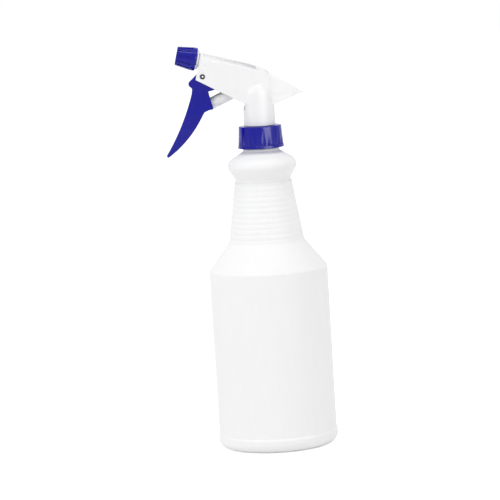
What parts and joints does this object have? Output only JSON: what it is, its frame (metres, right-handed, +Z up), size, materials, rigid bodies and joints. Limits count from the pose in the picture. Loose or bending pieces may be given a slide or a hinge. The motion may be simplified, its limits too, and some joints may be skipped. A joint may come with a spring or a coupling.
{
  "type": "trigger spray bottle",
  "caption": "Round bottle with a ribbed grip neck, a screw closure and a lever-pumped trigger head with a turning nozzle and a dip tube.",
  "frame": {"origin": "centre of the bottle's base, on the surface it stands on", "axes": "+Z up, nozzle towards -X"},
  "size_m": [0.1147, 0.0896, 0.3012],
  "materials": {
    "bottle_plastic": "satin",
    "white_plastic": "gloss",
    "blue_plastic": "gloss",
    "natural_plastic": "satin",
    "soft_seal": "matte",
    "steel": "satin"
  },
  "bodies": {
    "bottle": {"bottle": "bottle_plastic"},
    "sprayer": {"housing": "white_plastic", "shroud": "white_plastic", "pivot_pin": "steel", "gasket": "soft_seal", "tube_retainer": "natural_plastic", "dip_tube": "natural_plastic", "tube_filter": "natural_plastic", "barrel_plug": "white_plastic", "spinner": "natural_plastic", "valve_spring": "steel", "piston_spring": "steel"},
    "closure": {"closure": "blue_plastic"},
    "trigger": {"trigger": "blue_plastic"},
    "piston": {"piston": "natural_plastic", "piston_seal": "soft_seal"},
    "nozzle_seal": {"nozzle_seal": "soft_seal"},
    "nozzle": {"nozzle": "blue_plastic"},
    "inlet_ball": {"inlet_ball": "steel"},
    "discharge_valve": {"discharge_valve": "natural_plastic"}
  },
  "joints": [
    {"name": "sprayer_lift", "type": "slide", "parent": "bottle", "child": "sprayer", "axis": [0, 0, 1], "range_m": [0, 0.24]},
    {"name": "closure_turn", "type": "hinge", "parent": "sprayer", "child": "closure", "pos_m": [0, 0, 0.2355], "axis": [0, 0, 1], "continuous": true},
    {"name": "trigger_pull", "type": "hinge", "parent": "sprayer", "child": "trigger", "pos_m": [-0.0401, 0, 0.2784], "axis": [0, -1, 0], "range_deg": [0, 20], "stiffness_Nm_per_rad": 1.2, "springref_deg": -8.59},
    {"name": "piston_stroke", "type": "slide", "parent": "sprayer", "child": "piston", "axis": [0.9135, 0, 0.4067], "range_m": [0, 0.0077], "deforming": ["piston_spring"]},
    {"name": "nozzle_advance", "type": "slide", "parent": "sprayer", "child": "nozzle_seal", "axis": [-0.9703, 0, 0.2419], "range_m": [0, 0.0017]},
    {"name": "nozzle_turn", "type": "hinge", "parent": "nozzle_seal", "child": "nozzle", "pos_m": [0, 0, 0.28], "axis": [-0.9703, 0, 0.2419], "range_deg": [0, 360]},
    {"name": "inlet_ball_lift", "type": "slide", "parent": "sprayer", "child": "inlet_ball", "axis": [0, 0, 1], "range_m": [0, 0.0015]},
    {"name": "discharge_valve_lift", "type": "slide", "parent": "sprayer", "child": "discharge_valve", "axis": [-0.9703, 0, 0.2419], "range_m": [0, 0.001], "stiffness_N_per_m": 60, "springref_m": -0.002, "deforming": ["valve_spring"]}
  ],
  "couplings": [
    {"joint": "piston_stroke", "follows": "trigger_pull", "m_per_rad": 0.0216},
    {"joint": "nozzle_advance", "follows": "nozzle_turn", "m_per_rad": 0.00025465}
  ]
}
